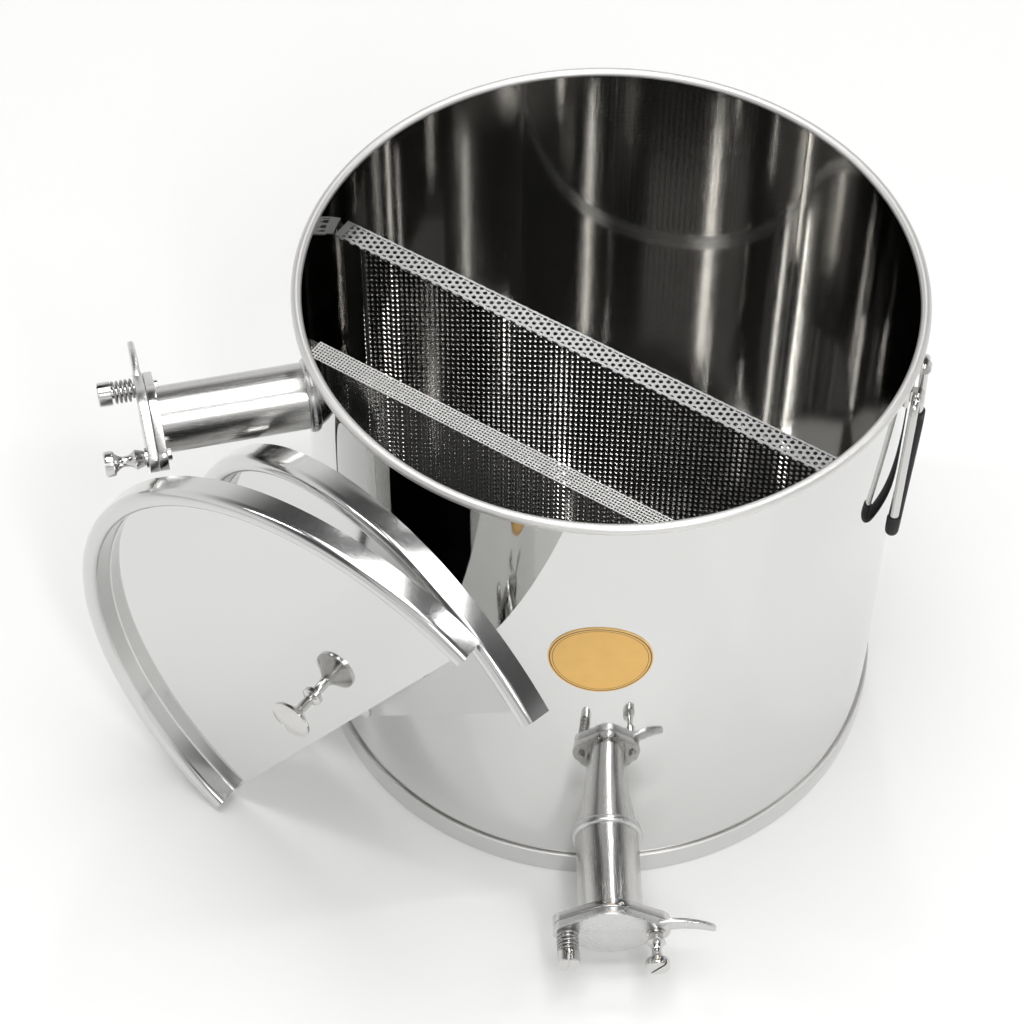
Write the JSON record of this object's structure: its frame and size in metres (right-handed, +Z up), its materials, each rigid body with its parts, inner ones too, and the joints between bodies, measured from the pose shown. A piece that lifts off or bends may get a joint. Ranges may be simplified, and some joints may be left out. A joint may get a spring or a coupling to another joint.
{
  "type": "honey settling tank",
  "caption": "Round stainless honey settling tank with lift-out screens, gate valves at base and rim, drop handles and half lids set on edge beside it.",
  "frame": {"origin": "on the tank's axis, at the level that the base ring stands on", "axes": "+Z up along the tank axis; the front spout points along -Y; X runs to the right seen from the front"},
  "size_m": [0.5731, 0.5144, 0.39],
  "materials": {
    "polished_steel": "mirror polished stainless sheet and turned stainless",
    "inner_steel": "bright rolled stainless",
    "satin_tube": "satin, polished lengthwise",
    "cast_steel": "cast stainless, tumbled",
    "spring_steel": "drawn spring wire",
    "screen_sheet": "perforated sheet and woven mesh, bright",
    "grip_rubber": "matte black sleeve",
    "label_paper": "plain amber disc, satin"
  },
  "bodies": {
    "tank": {"tank_shell": "polished_steel", "base_ring": "polished_steel", "front_pivot_screw": "polished_steel", "side_pivot_screw": "polished_steel", "tank_floor": "inner_steel", "coarse_guide_left": "inner_steel", "coarse_guide_right": "inner_steel", "fine_guide_left": "inner_steel", "fine_guide_right": "inner_steel", "front_spout": "satin_tube", "side_spout": "satin_tube", "front_weld_collar": "satin_tube", "side_weld_collar": "satin_tube", "front_flange": "satin_tube", "side_flange": "satin_tube", "right_handle_bracket": "satin_tube", "left_handle_bracket": "satin_tube", "front_pivot_spring": "spring_steel", "side_pivot_spring": "spring_steel", "label_disc": "label_paper"},
    "front_gate": {"front_gate_blade": "cast_steel"},
    "front_washer": {"front_clamp_washer": "polished_steel"},
    "front_clamp": {"front_clamp_knob": "polished_steel"},
    "side_gate": {"side_gate_blade": "cast_steel"},
    "side_washer": {"side_clamp_washer": "polished_steel"},
    "side_clamp": {"side_clamp_knob": "polished_steel"},
    "coarse_screen": {"coarse_screen": "screen_sheet"},
    "fine_screen": {"fine_screen": "screen_sheet", "fine_screen_frame": "screen_sheet"},
    "right_handle": {"right_handle_bail": "polished_steel", "right_handle_grip": "grip_rubber"},
    "left_handle": {"left_handle_bail": "polished_steel", "left_handle_grip": "grip_rubber"},
    "lid_front": {"lid_front_panel": "polished_steel", "lid_front_knob": "polished_steel", "lid_front_screw": "polished_steel"},
    "lid_back": {"lid_back_panel": "polished_steel", "lid_back_knob": "polished_steel", "lid_back_screw": "polished_steel"}
  },
  "joints": [
    {"name": "front_gate_pivot", "type": "hinge", "parent": "tank", "child": "front_gate", "pos_m": [-0.03, -0.273, 0.045], "axis": [0, -1, 0], "range_deg": [0, 85]},
    {"name": "front_washer_slide", "type": "slide", "parent": "tank", "child": "front_washer", "axis": [0, -1, 0], "range_m": [0, 0.0025]},
    {"name": "front_clamp_turn", "type": "hinge", "parent": "front_washer", "child": "front_clamp", "pos_m": [0.03, -0.279, 0.045], "axis": [0, -1, 0], "range_deg": [0, 720]},
    {"name": "side_gate_pivot", "type": "hinge", "parent": "tank", "child": "side_gate", "pos_m": [-0.30457, -0.03407, 0.33], "axis": [-0.9781, -0.2079, 0], "range_deg": [0, 85]},
    {"name": "side_washer_slide", "type": "slide", "parent": "tank", "child": "side_washer", "axis": [-0.9781, -0.2079, 0], "range_m": [0, 0.0025]},
    {"name": "side_clamp_turn", "type": "hinge", "parent": "side_washer", "child": "side_clamp", "pos_m": [-0.29797, -0.09401, 0.33], "axis": [-0.9781, -0.2079, 0], "range_deg": [0, 720]},
    {"name": "coarse_screen_lift", "type": "slide", "parent": "tank", "child": "coarse_screen", "axis": [0, 0, 1], "range_m": [0, 0.4]},
    {"name": "fine_screen_lift", "type": "slide", "parent": "tank", "child": "fine_screen", "axis": [0, 0, 1], "range_m": [0, 0.4]},
    {"name": "right_handle_swing", "type": "hinge", "parent": "tank", "child": "right_handle", "pos_m": [0.1985, -0.05692, 0.354], "axis": [-0.2756, -0.9613, 0], "range_deg": [0, 100]},
    {"name": "left_handle_swing", "type": "hinge", "parent": "tank", "child": "left_handle", "pos_m": [-0.17512, 0.10943, 0.354], "axis": [0.5299, 0.848, 0], "range_deg": [0, 100]},
    {"name": "lid_back_away", "type": "slide", "parent": "tank", "child": "lid_back", "axis": [-0.7604, -0.6494, 0], "range_m": [0, 0.2]},
    {"name": "lid_front_away", "type": "slide", "parent": "lid_back", "child": "lid_front", "axis": [-0.5892, -0.808, 0], "range_m": [0, 0.2]}
  ],
  "couplings": [
    {"joint": "front_clamp_turn", "follows": "front_washer_slide", "rad_per_m": 5026.5},
    {"joint": "side_clamp_turn", "follows": "side_washer_slide", "rad_per_m": 5026.5}
  ]
}
